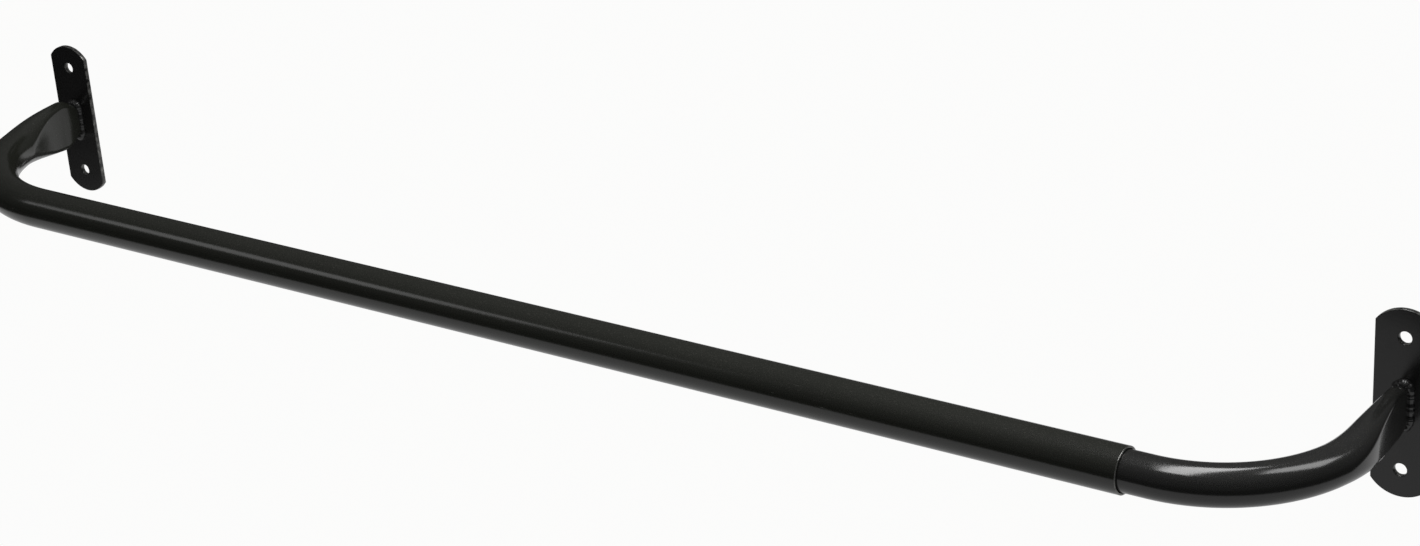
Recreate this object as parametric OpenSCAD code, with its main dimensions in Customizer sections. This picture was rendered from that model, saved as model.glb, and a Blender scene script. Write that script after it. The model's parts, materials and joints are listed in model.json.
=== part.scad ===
// Telescoping wrap-around curtain rod. An outer and an inner steel tube slide in
// each other, each turns 90 degrees back to the wall, and each flattened arm end is
// welded to an upright wall plate with two screw holes.
// Frame: X along the rod, Y towards the wall, Z up. The origin is the centre of the
// left plate's wall face, so the wall is the plane y = 0.

/* [Rod] */
// Distance from the left plate's centre line to the outer tube's open mouth
mouth_x = 860; // [400:1:1200]
// Length of straight inner tube that shows past the mouth, as drawn
pull_out = 13; // [11:1:400]
// Distance from the wall to the rod's axis
projection = 130; // [115:1:200]
// Distance from the outer tube's bend to the glide plug, as drawn
end_gap = 42; // [30:1:300]

/* [Tubes] */
// Outside diameter of the outer tube
tube_od = 25; // [22:0.5:32]
// Wall of the outer tube
tube_wall = 1.2; // [0.8:0.1:1.6]
// Wall of the inner tube
inner_wall = 1.2; // [0.8:0.1:1.6]
// Radial gap between the inner tube and the outer tube's bore
slide_clearance = 0.3; // [0.2:0.05:0.6]
// Centre line radius of the outer tube's bend
left_bend_r = 100; // [50:1:120]
// Centre line radius of the inner tube's bend
right_bend_r = 77; // [50:1:120]

/* [Flattened ends] */
// Thickness of the flattened tube ends, measured along the rod
flat_t = 8.5; // [6:0.5:12]
// Height of the flattened ends at the plate, where their corners are drawn in
end_h = 23; // [18:0.5:27]
// Distance from the plate over which the ends keep that height
flat_len = 3; // [2:0.5:5]
// Distance from the plate to where the corners start to draw in
corner_len = 15; // [10:1:20]
// Length of outer tube, back from the plate, that the press has reshaped
left_press_len = 60; // [40:1:100]
// Length of inner tube, back from the plate, that the press has reshaped
right_press_len = 75; // [40:1:100]
// Corner points round each ring of the flare
flare_sides = 32; // [16:4:48]
// Rings along each flare
flare_rings = 12; // [8:1:18]
// Rings along each pair of drawn-in corners
corner_rings = 6; // [4:1:10]
// How far the flare's rings sit below the round and the flat stretch
flare_step = 0.05; // [0.03:0.01:0.1]
// How far the flare runs into the round and the flat stretch
flare_lap = 0.6; // [0.3:0.1:1]

/* [Wall plates] */
// Width of a wall plate
plate_w = 32; // [30:1:40]
// Height of a wall plate over its curved ends
plate_h = 105; // [90:1:130]
// Thickness of a wall plate
plate_t = 3; // [2:0.5:4]
// Radius of the curved ends, larger than half the width
plate_end_r = 20; // [20:1:40]
// Distance between the two screw holes
hole_spacing = 74; // [66:1:80]
// Diameter of the screw holes
hole_d = 7; // [4:0.5:8]

/* [Welds] */
// Leg of the fillet weld round each tube end
weld_leg = 2.6; // [2:0.1:3.5]
// Width of the weld's blunt edge
weld_edge = 0.5; // [0.3:0.1:0.8]

/* [Glide plug] */
// Thickness of the plug's head, which runs in the outer tube
head_t = 8; // [6:0.5:12]
// Length of the plug's barrel inside the inner tube
barrel_len = 18; // [14:1:26]
// Radial gap between the plug and each tube
glide_clearance = 0.1; // [0.05:0.05:0.2]
// Wall of the plug's hollow barrel
plug_wall = 2.6; // [2:0.1:4]
// Distance from the inner tube's end to its rolled bead
bead_offset = 8; // [6:0.5:9]
// How far the rolled bead stands into the inner tube
bead_depth = 0.8; // [0.5:0.1:1]
// Width of the rolled bead
bead_w = 1.6; // [1.2:0.1:2]
// Chamfer on the plug's head
head_chamfer = 1; // [0.5:0.1:1.5]

/* [Hidden] */
$fn = 64;
// Overshoot of a cut past the face it opens
cut = 1;

// Inner tube sizes follow the outer tube's bore
outer_bore_d = tube_od - 2 * tube_wall;
inner_od = outer_bore_d - 2 * slide_clearance;
inner_bore_d = inner_od - 2 * inner_wall;

// Distance between the centre lines of the two wall plates
span = mouth_x + pull_out + right_bend_r;
// The inner tube's hidden end, with the plug's head in front of it
plug_x = left_bend_r + end_gap + head_t;

// Height of a flattened tube whose girth is still that of the round tube
function flat_h(od, t) = (PI * od - (PI - 2) * t) / 2;

// Outline of a flattened tube: straight sides and round ends, n points
function flat_outline(t, h, n) = [
    for (i = [0 : n - 1])
        let (a = 360 * (i + 0.5) / n)
        [t / 2 * cos(a), t / 2 * sin(a) + sign(sin(a)) * (h - t) / 2]
];

// Smooth step from 0 to 1, with an even slope mixed in
function ease(u) = 0.5 * u + 0.5 * u * u * (3 - 2 * u);

// Solid stadium of thickness t (X) and height h (Z), standing from z = 0 up local Z
module flat_bar(t, h, len) {
    translate([-t / 2, -(h - t) / 2, 0]) cube([t, h - t, len]);
    for (s = [-1, 1]) translate([0, s * (h - t) / 2, 0]) cylinder(d = t, h = len);
}

// Distance of ring k from the plate, without the laps at both ends
function ring_s(k, press_len) =
    k <= flare_rings
    ? press_len - (press_len - corner_len) * k / flare_rings
    : corner_len - (corner_len - flat_len) * (k - flare_rings) / corner_rings;

// Thickness of the pressed tube at distance s from the plate
function pressed_t(s, od, press_len) =
    od + (flat_t - od) * ease(min(1, (press_len - s) / (press_len - corner_len)));

// Height of the pressed tube at distance s from the plate
function pressed_h(s, od, press_len) =
    let (full = flat_h(od, pressed_t(s, od, press_len)),
         drawn = max(0, corner_len - s) / (corner_len - flat_len))
    end_h + (full - end_h) * (s < corner_len ? cos(90 * drawn) : 1);

// Angle that the centre line has turned at distance s from the plate
function turned(s, bend_r, arm_len) = max(0, s - arm_len) / bend_r * 180 / PI;

// Point p of a ring at distance s from the plate, in the bent bar's own frame
function on_ring(p, s, bend_r, arm_len) =
    let (a = turned(s, bend_r, arm_len), back = max(0, arm_len - s))
    [(bend_r + p[0]) * cos(a), bend_r + back - (bend_r + p[0]) * sin(a), -p[1]];

// Solid that blends from the round bar to the flat end, along the centre line;
// inset thins it all round, so the same module makes the outside and the bore
module flare(od, bend_r, arm_len, press_len, inset) {
    n = flare_sides;
    last = flare_rings + corner_rings;
    thin = 2 * (inset + flare_step);
    rings = [
        for (k = [0 : last])
            let (s = ring_s(k, press_len),
                 lap = k == 0 ? flare_lap : k == last ? -flare_lap : 0,
                 o = flat_outline(pressed_t(s, od, press_len) - thin,
                                  pressed_h(s, od, press_len) - thin, n))
            [for (p = o) on_ring(p, s + lap, bend_r, arm_len)]
    ];
    sides = [
        for (k = [0 : last - 1], i = [0 : n - 1])
            let (a = k * n + i, b = k * n + (i + 1) % n)
            each [[a, a + n, b], [b, a + n, b + n]]
    ];
    low = [for (i = [0 : n - 1]) i];
    high = [for (i = [n - 1 : -1 : 0]) last * n + i];
    polyhedron(points = [for (r = rings) each r], faces = concat(sides, [low, high]));
}

// Bent bar: straight stretch along X from x = 0 down to -straight, then a bend that
// turns towards +Y at x = 0, then the arm, whose last press_len is flattened
module bent_bar(od, straight, bend_r, arm_len, press_len, inset, past) {
    d = od - 2 * inset;
    flat_turn = turned(press_len, bend_r, arm_len);
    round_len = arm_len - press_len;
    translate([-straight - past, 0, 0])
        rotate([0, 90, 0]) cylinder(d = d, h = straight + past);
    translate([0, bend_r, 0]) rotate([0, 0, -90])
        rotate_extrude(angle = 90 - flat_turn) translate([bend_r, 0]) circle(d = d);
    if (round_len > 0)
        translate([bend_r, bend_r, 0]) rotate([-90, 0, 0]) cylinder(d = d, h = round_len);
    flare(od, bend_r, arm_len, press_len, inset);
    translate([bend_r, bend_r + arm_len - flat_len, 0]) rotate([-90, 0, 0])
        flat_bar(flat_t - 2 * inset, end_h - 2 * inset, flat_len + past);
}

// Tube made from a bent bar and the smaller bar of its bore
module bent_tube(od, wall, straight, bend_r, press_len) {
    arm_len = projection - bend_r - plate_t;
    difference() {
        bent_bar(od, straight, bend_r, arm_len, press_len, 0, 0);
        bent_bar(od, straight, bend_r, arm_len, press_len, wall, cut);
    }
}

// Larger tube: the rod's left part and its arm, open at the mouth
module outer_tube() {
    color("#1d1e1b")
        translate([left_bend_r, -projection, 0]) mirror([1, 0, 0])
            bent_tube(tube_od, tube_wall, mouth_x - left_bend_r, left_bend_r,
                      left_press_len);
}

// Smaller tube: slides in the outer tube; a rolled bead near its hidden end holds
// the plug
module inner_tube() {
    straight = span - right_bend_r - plug_x;
    color("#1d1e1b") {
        translate([span - right_bend_r, -projection, 0])
            bent_tube(inner_od, inner_wall, straight, right_bend_r, right_press_len);
        translate([plug_x + bead_offset - bead_w / 2, -projection, 0])
            rotate([0, 90, 0])
                difference() {
                    cylinder(d = inner_bore_d + inner_wall, h = bead_w);
                    translate([0, 0, -cut])
                        cylinder(d = inner_bore_d - 2 * bead_depth, h = bead_w + 2 * cut);
                }
    }
}

// Upright wall plate centred on x, with curved ends and two screw holes
module wall_plate(x) {
    end_z = plate_h / 2 - plate_end_r;
    color("#161616")
        translate([x, 0, 0]) rotate([90, 0, 0])
            difference() {
                linear_extrude(height = plate_t)
                    intersection() {
                        square([plate_w, plate_h], center = true);
                        union() {
                            square([plate_w, 2 * end_z], center = true);
                            for (s = [-1, 1])
                                translate([0, s * end_z]) circle(r = plate_end_r);
                        }
                    }
                for (s = [-1, 1])
                    translate([0, s * hole_spacing / 2, -cut])
                        cylinder(d = hole_d, h = plate_t + 2 * cut);
            }
}

module left_wall_plate() {
    wall_plate(0);
}

module right_wall_plate() {
    wall_plate(span);
}

// Fillet weld round a flattened tube end, on the front face of the plate at x
module weld_bead(x) {
    offset_z = (end_h - flat_t) / 2;
    wide = flat_t / 2 + weld_leg;
    narrow = flat_t / 2 + weld_edge;
    color("#242424")
        translate([x, -plate_t, 0]) rotate([90, 0, 0])
            difference() {
                union() {
                    for (s = [-1, 1])
                        translate([0, s * offset_z, 0])
                            cylinder(r1 = wide, r2 = narrow, h = weld_leg);
                    translate([0, offset_z, 0]) rotate([90, 0, 0])
                        linear_extrude(height = 2 * offset_z)
                            polygon([[-wide, 0], [wide, 0],
                                     [narrow, weld_leg], [-narrow, weld_leg]]);
                }
                translate([0, 0, -cut]) flat_bar(flat_t, end_h, weld_leg + 2 * cut);
            }
}

module left_weld_bead() {
    weld_bead(0);
}

module right_weld_bead() {
    weld_bead(span);
}

// Moulded plug in the inner tube's hidden end: its head guides the tube in the
// outer bore, and the groove of its barrel turns freely on the rolled bead
module glide_plug() {
    barrel_r = inner_bore_d / 2 - glide_clearance;
    head_r = outer_bore_d / 2 - glide_clearance;
    groove_r = inner_bore_d / 2 - bead_depth - glide_clearance;
    core_r = barrel_r - plug_wall;
    groove_low = bead_offset - bead_w / 2 - glide_clearance;
    groove_high = bead_offset + bead_w / 2 + glide_clearance;
    color("#2b2b2b")
        translate([plug_x, -projection, 0]) rotate([0, 90, 0])
            rotate_extrude()
                polygon([
                    [core_r, -head_t + 2], [core_r, barrel_len],
                    [barrel_r - head_chamfer, barrel_len],
                    [barrel_r, barrel_len - head_chamfer],
                    [barrel_r, groove_high], [groove_r, groove_high],
                    [groove_r, groove_low], [barrel_r, groove_low],
                    [barrel_r, -glide_clearance], [head_r, -glide_clearance],
                    [head_r, -head_t + head_chamfer],
                    [head_r - head_chamfer, -head_t], [0, -head_t],
                    [0, -head_t + 2]
                ]);
}

outer_tube();
inner_tube();
left_wall_plate();
right_wall_plate();
left_weld_bead();
right_weld_bead();
glide_plug();
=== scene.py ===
import json
from math import atan2, cos, pi, radians, sin

import bmesh
import bpy
from mathutils import Matrix, Vector


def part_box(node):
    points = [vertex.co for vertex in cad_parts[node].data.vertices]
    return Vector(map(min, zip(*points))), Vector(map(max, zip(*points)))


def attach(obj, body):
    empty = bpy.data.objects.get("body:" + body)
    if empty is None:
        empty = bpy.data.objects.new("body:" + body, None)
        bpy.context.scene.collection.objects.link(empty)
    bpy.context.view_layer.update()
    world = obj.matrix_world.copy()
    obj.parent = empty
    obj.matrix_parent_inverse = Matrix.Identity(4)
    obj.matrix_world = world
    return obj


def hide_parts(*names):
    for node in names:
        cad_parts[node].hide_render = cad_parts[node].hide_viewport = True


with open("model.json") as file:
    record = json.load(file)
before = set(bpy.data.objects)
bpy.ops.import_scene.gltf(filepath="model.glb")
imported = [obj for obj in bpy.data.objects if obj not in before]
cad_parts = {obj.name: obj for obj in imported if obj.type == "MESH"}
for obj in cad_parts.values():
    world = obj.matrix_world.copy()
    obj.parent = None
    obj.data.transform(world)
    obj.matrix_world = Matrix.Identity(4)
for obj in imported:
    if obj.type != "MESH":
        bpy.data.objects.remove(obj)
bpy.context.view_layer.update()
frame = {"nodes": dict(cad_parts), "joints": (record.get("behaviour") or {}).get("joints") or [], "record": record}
scene = bpy.context.scene


# ---------------------------------------------------------------------------------
# Where the rod is. Its axis is the axis on which the inner tube turns, and the two
# wall plates sit on the wall plane y = 0, a span apart.
# ---------------------------------------------------------------------------------
mounts = {m["name"]: Vector(m["pos_m"]) for m in frame["record"]["mounts"]}
joints = {j["name"]: j for j in frame["joints"]}
rod_y = joints["tube_twist"]["pos_m"][1]
span = mounts["right_wall_face"].x - mounts["left_wall_face"].x
plate_front_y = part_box("left_wall_plate")[0][1]


# ---------------------------------------------------------------------------------
# Camera. It stands in front of the right end of the rod, two thirds of a metre above
# it, and looks down along the rod towards the left plate.
# ---------------------------------------------------------------------------------
camera_place = Vector((span + 0.471, rod_y - 1.103, 0.656))
camera_turn = radians(36.06)
camera_down = radians(23.68)
camera_roll = radians(-3.93)

camera = bpy.data.objects.new("camera", bpy.data.cameras.new("camera"))
camera.data.sensor_width = 36.0
camera.data.lens = 71.92
camera.data.clip_start = 0.01
camera.matrix_world = (
    Matrix.Translation(camera_place)
    @ Matrix.Rotation(camera_turn, 4, "Z")
    @ Matrix.Rotation(radians(90) - camera_down, 4, "X")
    @ Matrix.Rotation(camera_roll, 4, "Z")
)
scene.collection.objects.link(camera)
scene.camera = camera


# ---------------------------------------------------------------------------------
# Studio. A plain white sheet lies under the rod and glows over a patch beneath and
# behind it, in a dim room. A softbox hangs to the left in front, one over the rod,
# and one beyond the right plate.
# ---------------------------------------------------------------------------------
def node(tree, kind, **settings):
    made = tree.nodes.new(kind)
    for name, value in settings.items():
        setattr(made, name, value)
    return made


def ramp(tree, factor, stops):
    made = node(tree, "ShaderNodeValToRGB")
    elements = made.color_ramp.elements
    elements[0].position, elements[0].color = stops[0][0], (*[stops[0][1]] * 3, 1)
    elements[1].position, elements[1].color = stops[-1][0], (*[stops[-1][1]] * 3, 1)
    for place, grey in stops[1:-1]:
        elements.new(place).color = (grey, grey, grey, 1)
    tree.links.new(factor, made.inputs["Fac"])
    return made.outputs["Color"]


floor_drop = 0.42
sheet_half = 6.0
lit_half_length = 1.3
lit_reach_forward = 0.92
sheet_white = 0.97

sheet_mesh = bpy.data.meshes.new("floor_sheet")
sheet_mesh.from_pydata(
    [(span / 2 + x * sheet_half, rod_y + y * sheet_half, -floor_drop)
     for x, y in ((-1, -1), (1, -1), (1, 1), (-1, 1))],
    [], [(0, 1, 2, 3)],
)
sheet = bpy.data.objects.new("floor_sheet", sheet_mesh)
scene.collection.objects.link(sheet)

sheet_paper = bpy.data.materials.new("floor_paper")
sheet_paper.use_nodes = True
tree = sheet_paper.node_tree
tree.nodes.clear()
place = node(tree, "ShaderNodeTexCoord")
centred = node(tree, "ShaderNodeVectorMath", operation="SUBTRACT")
centred.inputs[1].default_value = (span / 2, rod_y, -floor_drop)
in_front = node(tree, "ShaderNodeVectorMath", operation="MINIMUM")
in_front.inputs[1].default_value = (sheet_half, 0.0, 0.0)
shares = node(tree, "ShaderNodeVectorMath", operation="DIVIDE")
shares.inputs[1].default_value = (lit_half_length, lit_reach_forward, 1.0)
distance = node(tree, "ShaderNodeVectorMath", operation="LENGTH")
glow = node(tree, "ShaderNodeMapRange", interpolation_type="SMOOTHSTEP")
glow.inputs["From Min"].default_value = 0.9
glow.inputs["From Max"].default_value = 1.1
glow.inputs["To Min"].default_value = 0.66
glow.inputs["To Max"].default_value = 0.03
lit = node(tree, "ShaderNodeEmission")
seen = node(tree, "ShaderNodeEmission")
seen.inputs["Color"].default_value = (sheet_white, sheet_white, sheet_white * 0.995, 1)
path = node(tree, "ShaderNodeLightPath")
mix = node(tree, "ShaderNodeMixShader")
out = node(tree, "ShaderNodeOutputMaterial")
tree.links.new(place.outputs["Object"], centred.inputs[0])
tree.links.new(centred.outputs["Vector"], in_front.inputs[0])
tree.links.new(in_front.outputs["Vector"], shares.inputs[0])
tree.links.new(shares.outputs["Vector"], distance.inputs[0])
tree.links.new(distance.outputs["Value"], glow.inputs["Value"])
tree.links.new(glow.outputs["Result"], lit.inputs["Strength"])
tree.links.new(path.outputs["Is Camera Ray"], mix.inputs["Fac"])
tree.links.new(lit.outputs["Emission"], mix.inputs[1])
tree.links.new(seen.outputs["Emission"], mix.inputs[2])
tree.links.new(mix.outputs["Shader"], out.inputs["Surface"])
sheet_mesh.materials.append(sheet_paper)

world = bpy.data.worlds.new("studio_room")
world.use_nodes = True
scene.world = world
tree = world.node_tree
tree.nodes.clear()
direction = node(tree, "ShaderNodeTexCoord")
parts = node(tree, "ShaderNodeSeparateXYZ")
height = node(tree, "ShaderNodeMapRange")
height.inputs["From Min"].default_value = -1.0
height.inputs["From Max"].default_value = 1.0
room = node(tree, "ShaderNodeBackground")
seen = node(tree, "ShaderNodeBackground")
seen.inputs["Color"].default_value = (sheet_white, sheet_white, sheet_white * 0.995, 1)
path = node(tree, "ShaderNodeLightPath")
mix = node(tree, "ShaderNodeMixShader")
out = node(tree, "ShaderNodeOutputWorld")
tree.links.new(direction.outputs["Generated"], parts.inputs["Vector"])
tree.links.new(parts.outputs["Z"], height.inputs["Value"])
room_grey = ramp(tree, height.outputs["Result"], [
    (0.0, 0.03), (0.50, 0.05), (0.56, 0.09), (0.75, 0.13), (0.93, 0.26), (1.0, 0.32)])
tree.links.new(room_grey, room.inputs["Color"])
dim_left = node(tree, "ShaderNodeMapRange")
dim_left.inputs["From Min"].default_value = -0.75
dim_left.inputs["From Max"].default_value = -0.35
dim_left.inputs["To Min"].default_value = 0.55
tree.links.new(parts.outputs["X"], dim_left.inputs["Value"])
tree.links.new(dim_left.outputs["Result"], room.inputs["Strength"])
tree.links.new(path.outputs["Is Camera Ray"], mix.inputs["Fac"])
tree.links.new(room.outputs["Background"], mix.inputs[1])
tree.links.new(seen.outputs["Background"], mix.inputs[2])
tree.links.new(mix.outputs["Shader"], out.inputs["Surface"])
scene.view_settings.view_transform = "Standard"


def softbox(name, at, aim, size, watts):
    light = bpy.data.lights.new(name, "AREA")
    light.shape = "RECTANGLE"
    light.size, light.size_y = size
    light.energy = watts
    lamp = bpy.data.objects.new(name, light)
    lamp.location = at
    lamp.rotation_euler = (Vector(aim) - Vector(at)).to_track_quat("-Z", "Y").to_euler()
    lamp.visible_camera = False
    scene.collection.objects.link(lamp)


softbox("left_box", (-2.05, rod_y - 1.9, 1.9), (0.3, rod_y, 0), (1.1, 0.8), 4.2)
softbox("top_box", (span - 0.30, rod_y + 0.08, 1.3), (span - 0.30, rod_y + 0.08, 0),
        (0.34, 1.3), 14)
softbox("right_box", (span + 0.62, rod_y + 0.36, 1.2), (span, rod_y, 0), (0.5, 0.8), 7)


# ---------------------------------------------------------------------------------
# Enamel. Every steel piece is dipped or sprayed in gloss black enamel after welding.
# It lies with a faint peel, carries dust and fine scuffs, and is thinner and greyer
# on cut edges, where the lighter grey is partly rubbed bare steel and, on the tube's mouth, partly a painted
# highlight.
# ---------------------------------------------------------------------------------
def socket_in(tree, name, kind, value=None):
    made = tree.interface.new_socket(name, in_out="INPUT", socket_type=kind)
    if value is not None:
        made.default_value = value
    return made


def socket_out(tree, name, kind):
    return tree.interface.new_socket(name, in_out="OUTPUT", socket_type=kind)


def enamel_peel_group():
    tree = bpy.data.node_groups.new("enamel_peel", "ShaderNodeTree")
    socket_in(tree, "Fine Scale", "NodeSocketFloat", 900.0)
    socket_in(tree, "Broad Scale", "NodeSocketFloat", 70.0)
    socket_in(tree, "Fine Share", "NodeSocketFloat", 0.2)
    socket_out(tree, "Height", "NodeSocketFloat")
    given = node(tree, "NodeGroupInput")
    result = node(tree, "NodeGroupOutput")
    place = node(tree, "ShaderNodeTexCoord")
    fine = node(tree, "ShaderNodeTexNoise")
    broad = node(tree, "ShaderNodeTexNoise")
    for noise, name in ((fine, "Fine Scale"), (broad, "Broad Scale")):
        tree.links.new(place.outputs["Object"], noise.inputs["Vector"])
        tree.links.new(given.outputs[name], noise.inputs["Scale"])
        noise.inputs["Detail"].default_value = 1.0
    blend = node(tree, "ShaderNodeMix", data_type="FLOAT")
    tree.links.new(given.outputs["Fine Share"], blend.inputs["Factor"])
    tree.links.new(broad.outputs["Fac"], blend.inputs["A"])
    tree.links.new(fine.outputs["Fac"], blend.inputs["B"])
    tree.links.new(blend.outputs["Result"], result.inputs["Height"])
    return tree


def scuff_group():
    tree = bpy.data.node_groups.new("handling_scuffs", "ShaderNodeTree")
    socket_in(tree, "Stretch", "NodeSocketVector")
    socket_in(tree, "Amount", "NodeSocketFloat", 0.3)
    socket_in(tree, "Dust", "NodeSocketFloat", 0.3)
    socket_out(tree, "Scuffs", "NodeSocketFloat")
    socket_out(tree, "Dust", "NodeSocketFloat")
    given = node(tree, "NodeGroupInput")
    result = node(tree, "NodeGroupOutput")
    place = node(tree, "ShaderNodeTexCoord")
    stretched = node(tree, "ShaderNodeVectorMath", operation="MULTIPLY")
    tree.links.new(place.outputs["Object"], stretched.inputs[0])
    tree.links.new(given.outputs["Stretch"], stretched.inputs[1])
    marks = node(tree, "ShaderNodeTexNoise")
    marks.inputs["Scale"].default_value = 1.0
    marks.inputs["Detail"].default_value = 4.0
    marks.inputs["Roughness"].default_value = 0.7
    tree.links.new(stretched.outputs["Vector"], marks.inputs["Vector"])
    patches = node(tree, "ShaderNodeTexNoise")
    patches.inputs["Scale"].default_value = 16.0
    patches.inputs["Detail"].default_value = 2.0
    tree.links.new(place.outputs["Object"], patches.inputs["Vector"])
    sharp_marks = node(tree, "ShaderNodeMapRange")
    sharp_marks.inputs["From Min"].default_value = 0.62
    sharp_marks.inputs["From Max"].default_value = 0.72
    tree.links.new(marks.outputs["Fac"], sharp_marks.inputs["Value"])
    near_patches = node(tree, "ShaderNodeMapRange")
    near_patches.inputs["From Min"].default_value = 0.56
    near_patches.inputs["From Max"].default_value = 0.70
    tree.links.new(patches.outputs["Fac"], near_patches.inputs["Value"])
    both = node(tree, "ShaderNodeMath", operation="MULTIPLY")
    tree.links.new(sharp_marks.outputs["Result"], both.inputs[0])
    tree.links.new(near_patches.outputs["Result"], both.inputs[1])
    scaled = node(tree, "ShaderNodeMath", operation="MULTIPLY")
    tree.links.new(both.outputs["Value"], scaled.inputs[0])
    tree.links.new(given.outputs["Amount"], scaled.inputs[1])
    tree.links.new(scaled.outputs["Value"], result.inputs["Scuffs"])
    upward = node(tree, "ShaderNodeSeparateXYZ")
    tree.links.new(place.outputs["Normal"], upward.inputs["Vector"])
    top = node(tree, "ShaderNodeMapRange")
    top.inputs["From Min"].default_value = 0.1
    top.inputs["From Max"].default_value = 1.0
    tree.links.new(upward.outputs["Z"], top.inputs["Value"])
    specks = node(tree, "ShaderNodeTexNoise")
    specks.inputs["Scale"].default_value = 1400.0
    specks.inputs["Detail"].default_value = 3.0
    tree.links.new(place.outputs["Object"], specks.inputs["Vector"])
    speck_mask = node(tree, "ShaderNodeMapRange")
    speck_mask.inputs["From Min"].default_value = 0.52
    speck_mask.inputs["From Max"].default_value = 0.75
    tree.links.new(specks.outputs["Fac"], speck_mask.inputs["Value"])
    dusty = node(tree, "ShaderNodeMath", operation="MULTIPLY")
    tree.links.new(top.outputs["Result"], dusty.inputs[0])
    tree.links.new(speck_mask.outputs["Result"], dusty.inputs[1])
    dust = node(tree, "ShaderNodeMath", operation="MULTIPLY")
    tree.links.new(dusty.outputs["Value"], dust.inputs[0])
    tree.links.new(given.outputs["Dust"], dust.inputs[1])
    tree.links.new(dust.outputs["Value"], result.inputs["Dust"])
    return tree


# Mask for the lighter rim: rubbed bare steel on cut edges, and on the tube's mouth partly a painted highlight.
def wear_and_highlight_group():
    tree = bpy.data.node_groups.new("edge_wear_and_highlight", "ShaderNodeTree")
    socket_in(tree, "Spread", "NodeSocketFloat", 0.5)
    socket_out(tree, "Wear And Highlight", "NodeSocketFloat")
    given = node(tree, "NodeGroupInput")
    result = node(tree, "NodeGroupOutput")
    edge = node(tree, "ShaderNodeAttribute", attribute_name="edge")
    place = node(tree, "ShaderNodeTexCoord")
    chips = node(tree, "ShaderNodeTexNoise")
    chips.inputs["Scale"].default_value = 260.0
    chips.inputs["Detail"].default_value = 5.0
    tree.links.new(place.outputs["Object"], chips.inputs["Vector"])
    total = node(tree, "ShaderNodeMath", operation="ADD")
    tree.links.new(chips.outputs["Fac"], total.inputs[0])
    tree.links.new(given.outputs["Spread"], total.inputs[1])
    reached = node(tree, "ShaderNodeMath", operation="MULTIPLY")
    tree.links.new(total.outputs["Value"], reached.inputs[0])
    tree.links.new(edge.outputs["Fac"], reached.inputs[1])
    cut_off = node(tree, "ShaderNodeMapRange")
    cut_off.inputs["From Min"].default_value = 0.75
    cut_off.inputs["From Max"].default_value = 1.05
    tree.links.new(reached.outputs["Value"], cut_off.inputs["Value"])
    tree.links.new(cut_off.outputs["Result"], result.inputs["Wear And Highlight"])
    return tree


enamel_peel = enamel_peel_group()
handling_scuffs = scuff_group()
edge_wear_and_highlight = wear_and_highlight_group()


thick_share = 0.72
scuff_grey = (0.16, 0.16, 0.15)
dust_grey = (0.22, 0.21, 0.19)
# Lighter rim colour: partly rubbed bare steel, partly a painted highlight along the tube's mouth.
bare_steel_and_highlight = (0.20, 0.20, 0.19)
smooth_share, rough_share = 0.85, 1.2
scuff_roughness = 0.35
wear_and_highlight_roughness = 0.38
wear_and_highlight_metal = 0.7
enamel_ior = 1.5


def mix_colour(tree, mask, low, high):
    made = node(tree, "ShaderNodeMix", data_type="RGBA")
    for socket, value in (("A", low), ("B", high)):
        target = [s for s in made.inputs if s.name == socket and s.type == "RGBA"][0]
        if isinstance(value, tuple):
            target.default_value = (*value, 1)
        else:
            tree.links.new(value, target)
    factor = [s for s in made.inputs if s.name == "Factor" and s.type == "VALUE"][0]
    tree.links.new(mask, factor)
    return [s for s in made.outputs if s.type == "RGBA"][0]


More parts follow.
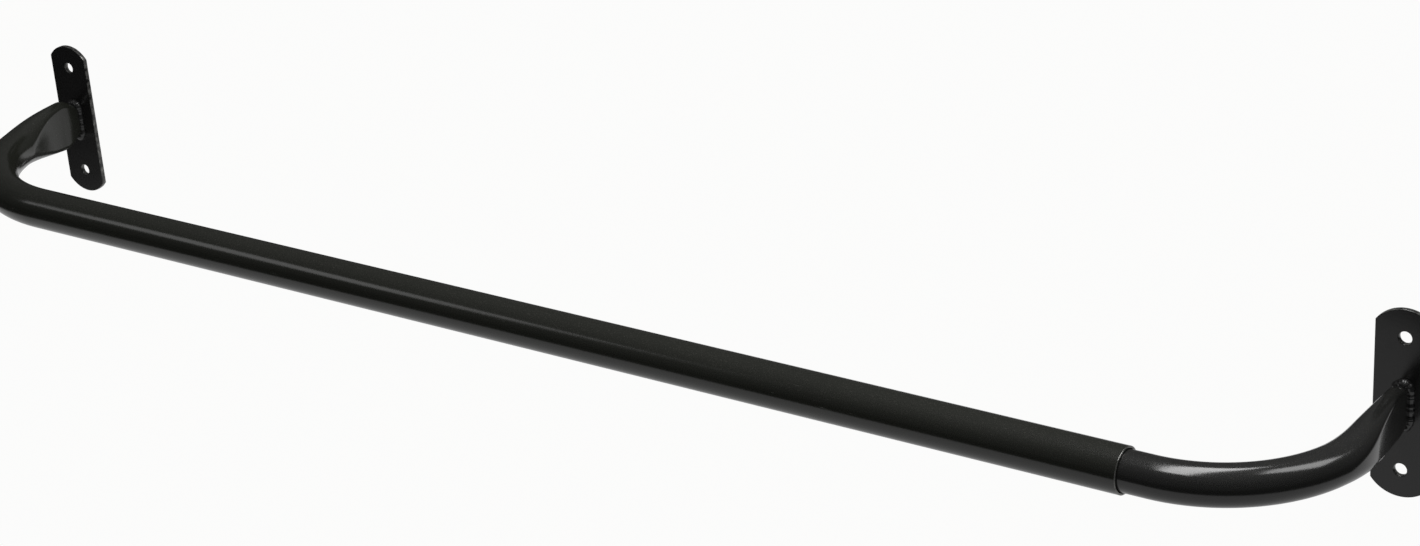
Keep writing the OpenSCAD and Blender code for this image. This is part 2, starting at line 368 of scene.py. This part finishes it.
def black_enamel(name, colour, roughness, stretch, scuffs, dust, wear_and_highlight_reach, peel_depth):
    material = bpy.data.materials.new(name)
    material.use_nodes = True
    tree = material.node_tree
    surface = tree.nodes["Principled BSDF"]
    peel = node(tree, "ShaderNodeGroup", node_tree=enamel_peel)
    marks = node(tree, "ShaderNodeGroup", node_tree=handling_scuffs)
    marks.inputs["Stretch"].default_value = stretch
    marks.inputs["Amount"].default_value = scuffs
    marks.inputs["Dust"].default_value = dust
    rim_mark = node(tree, "ShaderNodeGroup", node_tree=edge_wear_and_highlight)
    rim_mark.inputs["Spread"].default_value = wear_and_highlight_reach
    place = node(tree, "ShaderNodeTexCoord")
    drift = node(tree, "ShaderNodeTexNoise")
    drift.inputs["Scale"].default_value = 9.0
    drift.inputs["Detail"].default_value = 3.0
    tree.links.new(place.outputs["Object"], drift.inputs["Vector"])
    thick = tuple(c * thick_share for c in colour)
    base = mix_colour(tree, drift.outputs["Fac"], thick, colour)
    base = mix_colour(tree, marks.outputs["Scuffs"], base, scuff_grey)
    base = mix_colour(tree, marks.outputs["Dust"], base, dust_grey)
    # Rims painted lighter: partly bare steel wear, partly a painted highlight on the mouth.
    base = mix_colour(tree, rim_mark.outputs["Wear And Highlight"], base, bare_steel_and_highlight)
    tree.links.new(base, surface.inputs["Base Color"])
    rough = node(tree, "ShaderNodeMapRange")
    rough.inputs["To Min"].default_value = roughness * smooth_share
    rough.inputs["To Max"].default_value = roughness * rough_share
    tree.links.new(drift.outputs["Fac"], rough.inputs["Value"])
    scuffed = node(tree, "ShaderNodeMath", operation="MULTIPLY_ADD")
    scuffed.inputs[1].default_value = scuff_roughness
    tree.links.new(marks.outputs["Scuffs"], scuffed.inputs[0])
    tree.links.new(rough.outputs["Result"], scuffed.inputs[2])
    wear_and_highlight_rough = node(tree, "ShaderNodeMath", operation="MULTIPLY")
    wear_and_highlight_rough.inputs[1].default_value = wear_and_highlight_roughness
    tree.links.new(rim_mark.outputs["Wear And Highlight"], wear_and_highlight_rough.inputs[0])
    rougher = node(tree, "ShaderNodeMath", operation="MAXIMUM")
    tree.links.new(scuffed.outputs["Value"], rougher.inputs[0])
    tree.links.new(wear_and_highlight_rough.outputs["Value"], rougher.inputs[1])
    tree.links.new(rougher.outputs["Value"], surface.inputs["Roughness"])
    metal = node(tree, "ShaderNodeMath", operation="MULTIPLY")
    metal.inputs[1].default_value = wear_and_highlight_metal
    tree.links.new(rim_mark.outputs["Wear And Highlight"], metal.inputs[0])
    tree.links.new(metal.outputs["Value"], surface.inputs["Metallic"])
    relief = node(tree, "ShaderNodeBump")
    relief.inputs["Strength"].default_value = 1.0
    relief.inputs["Distance"].default_value = peel_depth
    tree.links.new(peel.outputs["Height"], relief.inputs["Height"])
    tree.links.new(relief.outputs["Normal"], surface.inputs["Normal"])
    surface.inputs["IOR"].default_value = enamel_ior
    return material


# ---------------------------------------------------------------------------------
# Outer tube. Welded steel tube, cut square, with its mouth eased and rubbed grey; the grey
# rim is partly bare steel and partly a painted highlight. One end is pressed flat in a die,
# and the tube is then bent cold round a former.
# ---------------------------------------------------------------------------------
tube_sides = 96
along_bends = 0.0015
along_straights = 0.020
lip_round = 0.0003
lip_steps = 4
just_past_lip = 1.01
rolled_steps = 6
tube_wall = 0.0012
arm_reach = plate_front_y - rod_y
flat_thickness = 0.0085
corner_start = 0.015
corner_end = 0.003
end_height = 0.023


def stations(low, high, step):
    count = max(1, round((high - low) / step))
    return [low + (high - low) * i / count for i in range(count + 1)]


def wall_section(length, radius, bent_length, roll=None):
    """Closed outline (distance from the plate, radius) of the straight tube's wall."""
    run = stations(0.0, bent_length, along_bends)
    run += stations(bent_length, length - 2 * lip_round, along_straights)[1:]
    run += [length - lip_round]
    sunk = {}
    if roll:
        middle, half, depth = roll
        run = [s for s in run if abs(s - middle) > half]
        rolled = stations(middle - half, middle + half, half / rolled_steps)
        run = sorted(run + rolled)
        for s in rolled:
            sunk[s] = depth * (0.5 + 0.5 * cos(pi * (s - middle) / half))
    outside = [(s, radius - sunk.get(s, 0.0)) for s in run]
    bore = [(s, r - tube_wall) for s, r in reversed(outside)]
    turns = [pi / 2 * k / lip_steps for k in range(1, lip_steps + 1)]
    lip = [(length - lip_round * (1 - sin(t)), lip_round * (1 - cos(t))) for t in turns]
    mouth = [(s, radius - drop) for s, drop in lip]
    mouth += [(s, radius - tube_wall + drop) for s, drop in reversed(lip)]
    return outside + mouth + bore


def straight_tube(name, section, wear_and_highlight_from):
    """Mesh of a straight tube along X, turned from its wall section."""
    mesh = bpy.data.meshes.new(name)
    shape = bmesh.new()
    edge = shape.verts.layers.float.new("edge")
    rings = []
    for s, radius in section:
        ring = []
        for i in range(tube_sides):
            a = 2 * pi * i / tube_sides
            v = shape.verts.new((s, radius * cos(a), radius * sin(a)))
            v[edge] = 1.0 if s >= wear_and_highlight_from else 0.0
            ring.append(v)
        rings.append(ring)
    for low, high in zip(rings, rings[1:] + rings[:1]):
        for i in range(tube_sides):
            k = (i + 1) % tube_sides
            face = shape.faces.new((low[i], high[i], high[k], low[k]))
            face.smooth = True
    bmesh.ops.recalc_face_normals(shape, faces=shape.faces)
    shape.to_mesh(mesh)
    shape.free()
    tube = bpy.data.objects.new(name, mesh)
    scene.collection.objects.link(tube)
    return tube


class Sums:
    """Short forms for the math nodes of one Geometry Nodes tree."""

    def __init__(self, tree):
        self.tree = tree

    def do(self, operation, *values, clamp=False):
        made = self.tree.nodes.new("ShaderNodeMath")
        made.operation = operation
        made.use_clamp = clamp
        for socket, value in zip(made.inputs, values):
            if isinstance(value, (int, float)):
                socket.default_value = value
            else:
                self.tree.links.new(value, socket)
        return made.outputs[0]

    def add(self, a, b):
        return self.do("ADD", a, b)

    def sub(self, a, b):
        return self.do("SUBTRACT", a, b)

    def mul(self, a, b):
        return self.do("MULTIPLY", a, b)

    def div(self, a, b):
        return self.do("DIVIDE", a, b)


def press_and_bend_tree():
    """Takes a straight tube along X. Presses the end at X = 0 flat, then bends it."""
    tree = bpy.data.node_groups.new("press_and_bend", "GeometryNodeTree")
    socket_in(tree, "Tube", "NodeSocketGeometry")
    for name in ("Radius", "Flat Thickness", "Flare Start", "Corner Start", "Corner End",
                 "End Height", "Arm Reach", "Bend Radius", "Arm X", "Side", "Plate Front"):
        socket_in(tree, name, "NodeSocketFloat", 0.0)
    socket_in(tree, "Enamel", "NodeSocketMaterial")
    socket_out(tree, "Tube", "NodeSocketGeometry")
    given = node(tree, "NodeGroupInput").outputs
    m = Sums(tree)
    at = node(tree, "GeometryNodeInputPosition")
    parts = node(tree, "ShaderNodeSeparateXYZ")
    tree.links.new(at.outputs[0], parts.inputs[0])
    s, y, z = parts.outputs
    radius = m.do("SQRT", m.add(m.mul(y, y), m.mul(z, z)))
    across, up = m.div(y, radius), m.div(z, radius)
    inset = m.sub(given["Radius"], radius)
    # Pressed flat towards the end, with the girth of the round tube kept.
    run = m.sub(given["Flare Start"], given["Corner Start"])
    u = m.do("DIVIDE", m.sub(given["Flare Start"], s), run, clamp=True)
    smooth = m.mul(m.mul(u, u), m.sub(3.0, m.mul(2.0, u)))
    pressed = m.mul(0.5, m.add(u, smooth))
    half_round = given["Radius"]
    half_flat = m.div(given["Flat Thickness"], 2.0)
    half_t = m.sub(half_round, m.mul(pressed, m.sub(half_round, half_flat)))
    half_h = m.sub(m.mul(pi / 2, half_round), m.mul(pi / 2 - 1, half_t))
    # Corners drawn in just before the plate.
    corner_run = m.sub(given["Corner Start"], given["Corner End"])
    drawn = m.do("DIVIDE", m.sub(given["Corner Start"], s), corner_run, clamp=True)
    drawn = m.sub(1.0, m.do("COSINE", m.mul(pi / 2, drawn)))
    half_end = m.div(given["End Height"], 2.0)
    half_h = m.sub(half_h, m.mul(drawn, m.sub(half_h, half_end)))
    side_h = m.mul(m.sub(half_h, half_t), m.sub(1.5, m.mul(0.5, pressed)))
    y = m.mul(m.sub(half_t, inset), across)
    z = m.add(m.mul(side_h, m.do("SIGN", up)),
              m.mul(m.sub(m.sub(half_h, side_h), inset), up))
    # Along the arm, round the former, then straight along the rod.
    bend_start = m.sub(given["Arm Reach"], given["Bend Radius"])
    past = m.sub(s, bend_start)
    turn = m.do("MINIMUM", m.do("MAXIMUM", m.div(past, given["Bend Radius"]), 0.0), pi / 2)
    turn_cos, turn_sin = m.do("COSINE", turn), m.do("SINE", turn)
    after = m.do("MAXIMUM", m.sub(past, m.mul(given["Bend Radius"], pi / 2)), 0.0)
    x = m.add(m.mul(given["Bend Radius"], m.sub(1.0, turn_cos)), after)
    x = m.add(x, m.mul(y, turn_cos))
    out_y = m.add(m.do("MINIMUM", s, bend_start), m.mul(given["Bend Radius"], turn_sin))
    out_y = m.sub(m.mul(y, turn_sin), out_y)
    place = node(tree, "ShaderNodeCombineXYZ")
    tree.links.new(m.add(given["Arm X"], m.mul(given["Side"], x)), place.inputs[0])
    tree.links.new(m.add(given["Plate Front"], out_y), place.inputs[1])
    tree.links.new(m.mul(given["Side"], z), place.inputs[2])
    move = node(tree, "GeometryNodeSetPosition")
    tree.links.new(given["Tube"], move.inputs["Geometry"])
    tree.links.new(place.outputs[0], move.inputs["Position"])
    real = node(tree, "GeometryNodeRealizeInstances")
    paint = node(tree, "GeometryNodeSetMaterial")
    result = node(tree, "NodeGroupOutput")
    tree.links.new(move.outputs["Geometry"], real.inputs["Geometry"])
    tree.links.new(real.outputs["Geometry"], paint.inputs["Geometry"])
    tree.links.new(given["Enamel"], paint.inputs["Material"])
    tree.links.new(paint.outputs["Geometry"], result.inputs[0])
    return tree


def run_tree(obj, tree, values):
    """Runs a Geometry Nodes tree on obj and keeps its result as a plain mesh."""
    modifier = obj.modifiers.new(tree.name, "NODES")
    modifier.node_group = tree
    sockets = {i.name: i.identifier for i in tree.interface.items_tree
               if getattr(i, "in_out", "") == "INPUT"}
    for name, value in values.items():
        modifier[sockets[name]] = value
    bpy.context.view_layer.update()
    seen = obj.evaluated_get(bpy.context.evaluated_depsgraph_get())
    mesh = bpy.data.meshes.new_from_object(seen)
    obj.modifiers.clear()
    obj.data = mesh
    return obj


press_and_bend = press_and_bend_tree()


def bent_tube(name, radius, length, pressed, bend_radius, arm_x, side, enamel, roll=None):
    bend_end = arm_reach - bend_radius + bend_radius * pi / 2
    # The mouth's last rings take the lighter rim colour: partly wear, partly a painted highlight.
    wear_and_highlight_from = length - lip_round * just_past_lip
    tube = straight_tube(name, wall_section(length, radius, bend_end, roll), wear_and_highlight_from)
    return run_tree(tube, press_and_bend, {
        "Radius": radius, "Flat Thickness": flat_thickness, "Flare Start": pressed,
        "Corner Start": corner_start, "Corner End": corner_end, "End Height": end_height,
        "Arm Reach": arm_reach, "Bend Radius": bend_radius, "Arm X": arm_x, "Side": side,
        "Plate Front": plate_front_y, "Enamel": enamel,
    })


outer_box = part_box("outer_tube")
outer_radius = rod_y - outer_box[0][1]
mouth_x = outer_box[1][0]
left_bend_radius = 0.100
left_pressed = 0.060
outer_length = (arm_reach - left_bend_radius + left_bend_radius * pi / 2
                + mouth_x - left_bend_radius)
outer_enamel = black_enamel(
    "outer_tube_enamel", colour=(0.016, 0.017, 0.0135), roughness=0.16,
    stretch=(60.0, 900.0, 900.0), scuffs=0.6, dust=0.10, wear_and_highlight_reach=0.45, peel_depth=0.00006)
outer_tube = bent_tube("outer_tube_steel", outer_radius, outer_length, left_pressed,
                       left_bend_radius, 0.0, 1.0, outer_enamel)
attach(outer_tube, "outer_rod")
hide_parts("outer_tube")


# ---------------------------------------------------------------------------------
# Inner tube. The same tube a size smaller, with a tighter bend. It slides in the outer
# tube, which rubs fine lines along it, and a bead is rolled in near its hidden end.
# ---------------------------------------------------------------------------------
inner_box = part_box("inner_tube")
inner_radius = rod_y - inner_box[0][1]
hidden_end_x = inner_box[0][0]
right_bend_radius = 0.077
right_pressed = 0.075
inner_length = (arm_reach - right_bend_radius + right_bend_radius * pi / 2
                + span - right_bend_radius - hidden_end_x)
bead_from_end = 0.008
bead_half_width = 0.0016
bead_sink = 0.0008
inner_enamel = black_enamel(
    "inner_tube_enamel", colour=(0.015, 0.0152, 0.0145), roughness=0.15,
    stretch=(40.0, 1200.0, 1200.0), scuffs=0.4, dust=0.08, wear_and_highlight_reach=0.45, peel_depth=0.00005)
inner_tube = bent_tube("inner_tube_steel", inner_radius, inner_length, right_pressed,
                       right_bend_radius, span, -1.0, inner_enamel,
                       (inner_length - bead_from_end, bead_half_width, bead_sink))
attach(inner_tube, "inner_rod")
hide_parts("inner_tube")


# ---------------------------------------------------------------------------------
# Wall plates. Blanked from 3 mm steel strip: the punch leaves the edges slightly
# rounded, the ends are arcs wider than the strip, and each end has a screw hole.
# ---------------------------------------------------------------------------------
plate_low, plate_high = (Vector(c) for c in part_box("left_wall_plate"))
plate_half_width = (plate_high.x - plate_low.x) / 2
plate_half_height = (plate_high.z - plate_low.z) / 2
plate_thickness = plate_high.y - plate_low.y
plate_end_radius = 0.020
plate_edge_round = 0.0005
arc_steps = 40
hole_steps = 56
flat_margin = 1e-5
nearly_flat = 0.99
bolts = [m for m in frame["record"]["mounts"] if m["name"] == "left_bolts"][0]["dims"]
hole_radius = bolts["hole_r_mm"] / 1000
hole_height = bolts["spacing_y_mm"] / 2000


def plate_outline():
    lift = plate_half_height - plate_end_radius
    reach = (plate_half_width, (plate_end_radius ** 2 - plate_half_width ** 2) ** 0.5)
    corner = atan2(reach[1], reach[0])
    angles = [corner + (pi - 2 * corner) * i / arc_steps for i in range(arc_steps + 1)]
    top = [(plate_end_radius * cos(a), lift + plate_end_radius * sin(a)) for a in angles]
    return top + [(-x, -z) for x, z in top]


def circle_outline(radius, lift):
    angles = [-2 * pi * i / hole_steps for i in range(hole_steps)]
    return [(radius * cos(a), lift + radius * sin(a)) for a in angles]


def wall_plate(name, x, enamel):
    curve = bpy.data.curves.new(name, "CURVE")
    curve.dimensions = "2D"
    curve.fill_mode = "BOTH"
    curve.extrude = plate_thickness / 2 - plate_edge_round
    curve.bevel_depth = plate_edge_round
    curve.bevel_resolution = 3
    curve.offset = -plate_edge_round
    for outline in (plate_outline(), circle_outline(hole_radius, hole_height),
                    circle_outline(hole_radius, -hole_height)):
        spline = curve.splines.new("POLY")
        spline.points.add(len(outline) - 1)
        for point, (px, pz) in zip(spline.points, outline):
            point.co = (px, pz, 0, 1)
        spline.use_cyclic_u = True
    drawn = bpy.data.objects.new(name + "_outline", curve)
    scene.collection.objects.link(drawn)
    bpy.context.view_layer.update()
    seen = drawn.evaluated_get(bpy.context.evaluated_depsgraph_get())
    mesh = bpy.data.meshes.new_from_object(seen)
    bpy.data.objects.remove(drawn)
    shape = bmesh.new()
    shape.from_mesh(mesh)
    bmesh.ops.remove_doubles(shape, verts=shape.verts, dist=1e-6)
    bmesh.ops.recalc_face_normals(shape, faces=shape.faces)
    edge = shape.verts.layers.float.new("edge")
    flat_level = plate_thickness / 2 - flat_margin
    for v in shape.verts:
        v[edge] = 1.0 if abs(v.co.z) < flat_level else 0.0
    for face in shape.faces:
        face.smooth = abs(face.normal.z) < nearly_flat
    stand = Matrix.Translation((x, -plate_thickness / 2, 0)) @ Matrix.Rotation(pi / 2, 4, "X")
    bmesh.ops.transform(shape, matrix=stand, verts=shape.verts)
    shape.to_mesh(mesh)
    shape.free()
    mesh.materials.clear()
    mesh.materials.append(enamel)
    plate = bpy.data.objects.new(name, mesh)
    scene.collection.objects.link(plate)
    return plate


plate_enamel = black_enamel(
    "wall_plate_enamel", colour=(0.008, 0.0078, 0.0076), roughness=0.22,
    stretch=(500.0, 500.0, 90.0), scuffs=0.5, dust=0.1, wear_and_highlight_reach=0.35, peel_depth=0.00008)
left_plate = wall_plate("left_plate_steel", 0.0, plate_enamel)
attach(left_plate, "outer_rod")
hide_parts("left_wall_plate")
right_plate = wall_plate("right_plate_steel", span, plate_enamel)
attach(right_plate, "inner_rod")
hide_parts("right_wall_plate")


# ---------------------------------------------------------------------------------
# Weld beads. A run of wire weld round each flattened tube end: a bead of overlapping
# ripples, uneven in width and heavier where it turns above and below the tube,
# painted over with the rest.
# ---------------------------------------------------------------------------------
nearly_half = 0.499
run_points = 420
bead_sides = 20
turn_from = 0.3  # share of the height at which the bead begins to grow
turn_run = 0.2


def weld_bead_tree():
    """Sweeps a rippled bead round a rounded outline and roots it in the plate."""
    tree = bpy.data.node_groups.new("weld_bead", "GeometryNodeTree")
    socket_in(tree, "Geometry", "NodeSocketGeometry")
    for name in ("Thickness", "Height", "Bead Radius", "Ripple Length", "Ripple Depth",
                 "Unevenness", "End Swell", "Root Depth", "Arm X", "Plate Front"):
        socket_in(tree, name, "NodeSocketFloat", 0.0)
    socket_in(tree, "Seed", "NodeSocketFloat", 0.0)
    socket_in(tree, "Enamel", "NodeSocketMaterial")
    socket_out(tree, "Bead", "NodeSocketGeometry")
    given = node(tree, "NodeGroupInput").outputs
    m = Sums(tree)
    outline = node(tree, "GeometryNodeCurvePrimitiveQuadrilateral")
    tree.links.new(given["Thickness"], outline.inputs["Width"])
    tree.links.new(given["Height"], outline.inputs["Height"])
    rounded = node(tree, "GeometryNodeFilletCurve", mode="POLY")
    rounded.inputs["Count"].default_value = 16
    tree.links.new(outline.outputs["Curve"], rounded.inputs["Curve"])
    tree.links.new(m.mul(given["Thickness"], nearly_half), rounded.inputs["Radius"])
    even = node(tree, "GeometryNodeResampleCurve", mode="COUNT")
    even.inputs["Count"].default_value = run_points
    tree.links.new(rounded.outputs["Curve"], even.inputs["Curve"])
    along = node(tree, "GeometryNodeSplineParameter").outputs["Length"]
    wobble = node(tree, "ShaderNodeTexNoise", noise_dimensions="4D")
    wobble.inputs["Scale"].default_value = 260.0
    wobble.inputs["Detail"].default_value = 2.0
    tree.links.new(given["Seed"], wobble.inputs["W"])
    uneven = m.mul(given["Unevenness"], m.sub(wobble.outputs[0], 0.5))
    phase = m.mul(m.div(along, given["Ripple Length"]), pi)
    ripple = m.mul(given["Ripple Depth"], m.do("ABSOLUTE", m.do("SINE", phase)))
    girth = m.mul(given["Bead Radius"], m.add(1.0, m.add(uneven, ripple)))
    # Heavier where the run turns round the top and bottom of the tube.
    spot = node(tree, "ShaderNodeSeparateXYZ")
    tree.links.new(node(tree, "GeometryNodeInputPosition").outputs[0], spot.inputs[0])
    height_share = m.div(m.do("ABSOLUTE", spot.outputs["Y"]), given["Height"])
    end_share = m.do("DIVIDE", m.sub(height_share, turn_from), turn_run, clamp=True)
    girth = m.mul(girth, m.add(1.0, m.mul(given["End Swell"], end_share)))
    section = node(tree, "GeometryNodeCurvePrimitiveCircle")
    section.inputs["Resolution"].default_value = bead_sides
    section.inputs["Radius"].default_value = 1.0
    sweep = node(tree, "GeometryNodeCurveToMesh")
    tree.links.new(section.outputs["Curve"], sweep.inputs["Profile Curve"])
    tree.links.new(even.outputs["Curve"], sweep.inputs["Curve"])
    tree.links.new(girth, sweep.inputs["Scale"])
    # Cut off below the plate's face, so that the bead stays within the plate.
    swept = node(tree, "ShaderNodeSeparateXYZ")
    tree.links.new(node(tree, "GeometryNodeInputPosition").outputs[0], swept.inputs[0])
    rooted = node(tree, "ShaderNodeCombineXYZ")
    tree.links.new(swept.outputs["X"], rooted.inputs["X"])
    tree.links.new(swept.outputs["Y"], rooted.inputs["Y"])
    root = m.do("MAXIMUM", swept.outputs["Z"], m.mul(given["Root Depth"], -1.0))
    tree.links.new(root, rooted.inputs["Z"])
    settle = node(tree, "GeometryNodeSetPosition")
    tree.links.new(sweep.outputs["Mesh"], settle.inputs["Geometry"])
    tree.links.new(rooted.outputs[0], settle.inputs["Position"])
    stand = node(tree, "GeometryNodeTransform")
    tree.links.new(settle.outputs["Geometry"], stand.inputs["Geometry"])
    stand.inputs["Rotation"].default_value = (pi / 2, 0, 0)
    place = node(tree, "ShaderNodeCombineXYZ")
    tree.links.new(given["Arm X"], place.inputs[0])
    tree.links.new(given["Plate Front"], place.inputs[1])
    tree.links.new(place.outputs[0], stand.inputs["Translation"])
    shade = node(tree, "GeometryNodeSetShadeSmooth")
    tree.links.new(stand.outputs["Geometry"], shade.inputs["Geometry"])
    real = node(tree, "GeometryNodeRealizeInstances")
    paint = node(tree, "GeometryNodeSetMaterial")
    result = node(tree, "NodeGroupOutput")
    tree.links.new(shade.outputs["Geometry"], real.inputs["Geometry"])
    tree.links.new(real.outputs["Geometry"], paint.inputs["Geometry"])
    tree.links.new(given["Enamel"], paint.inputs["Material"])
    tree.links.new(paint.outputs["Geometry"], result.inputs[0])
    return tree


weld_bead = weld_bead_tree()
weld_enamel = black_enamel(
    "weld_enamel", colour=(0.016, 0.016, 0.016), roughness=0.2,
    stretch=(400.0, 400.0, 400.0), scuffs=0.3, dust=0.1, wear_and_highlight_reach=0.0, peel_depth=0.00012)


def weld_run(name, x, seed):
    bead = bpy.data.objects.new(name, bpy.data.meshes.new(name))
    scene.collection.objects.link(bead)
    return run_tree(bead, weld_bead, {
        "Thickness": flat_thickness, "Height": end_height, "Bead Radius": 0.0020,
        "Ripple Length": 0.0043, "Ripple Depth": 0.10, "Unevenness": 1.3,
        "End Swell": 0.5, "Root Depth": 0.0010, "Arm X": x,
        "Plate Front": plate_front_y, "Seed": seed, "Enamel": weld_enamel,
    })


left_weld = weld_run("left_weld_run", 0.0, 1.0)
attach(left_weld, "outer_rod")
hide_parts("left_weld_bead")
right_weld = weld_run("right_weld_run", span, 5.0)
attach(right_weld, "inner_rod")
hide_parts("right_weld_bead")


# ---------------------------------------------------------------------------------
# Glide plug. Moulded black nylon, snapped into the inner tube's hidden end. It stays
# as modelled, and gets the dull, slightly mottled skin of a moulding.
# ---------------------------------------------------------------------------------
nylon = bpy.data.materials.new("glide_nylon")
nylon.use_nodes = True
tree = nylon.node_tree
skin = tree.nodes["Principled BSDF"]
place = node(tree, "ShaderNodeTexCoord")
mottle = node(tree, "ShaderNodeTexNoise")
mottle.inputs["Scale"].default_value = 700.0
mottle.inputs["Detail"].default_value = 3.0
tree.links.new(place.outputs["Object"], mottle.inputs["Vector"])
colour = mix_colour(tree, mottle.outputs["Fac"], (0.018, 0.018, 0.018), (0.035, 0.035, 0.034))
tree.links.new(colour, skin.inputs["Base Color"])
rough = node(tree, "ShaderNodeMapRange")
rough.inputs["To Min"].default_value = 0.42
rough.inputs["To Max"].default_value = 0.62
tree.links.new(mottle.outputs["Fac"], rough.inputs["Value"])
tree.links.new(rough.outputs["Result"], skin.inputs["Roughness"])
relief = node(tree, "ShaderNodeBump")
relief.inputs["Distance"].default_value = 0.00005
tree.links.new(mottle.outputs["Fac"], relief.inputs["Height"])
tree.links.new(relief.outputs["Normal"], skin.inputs["Normal"])
plug = frame["nodes"]["glide_plug"]
plug.data.materials.clear()
plug.data.materials.append(nylon)
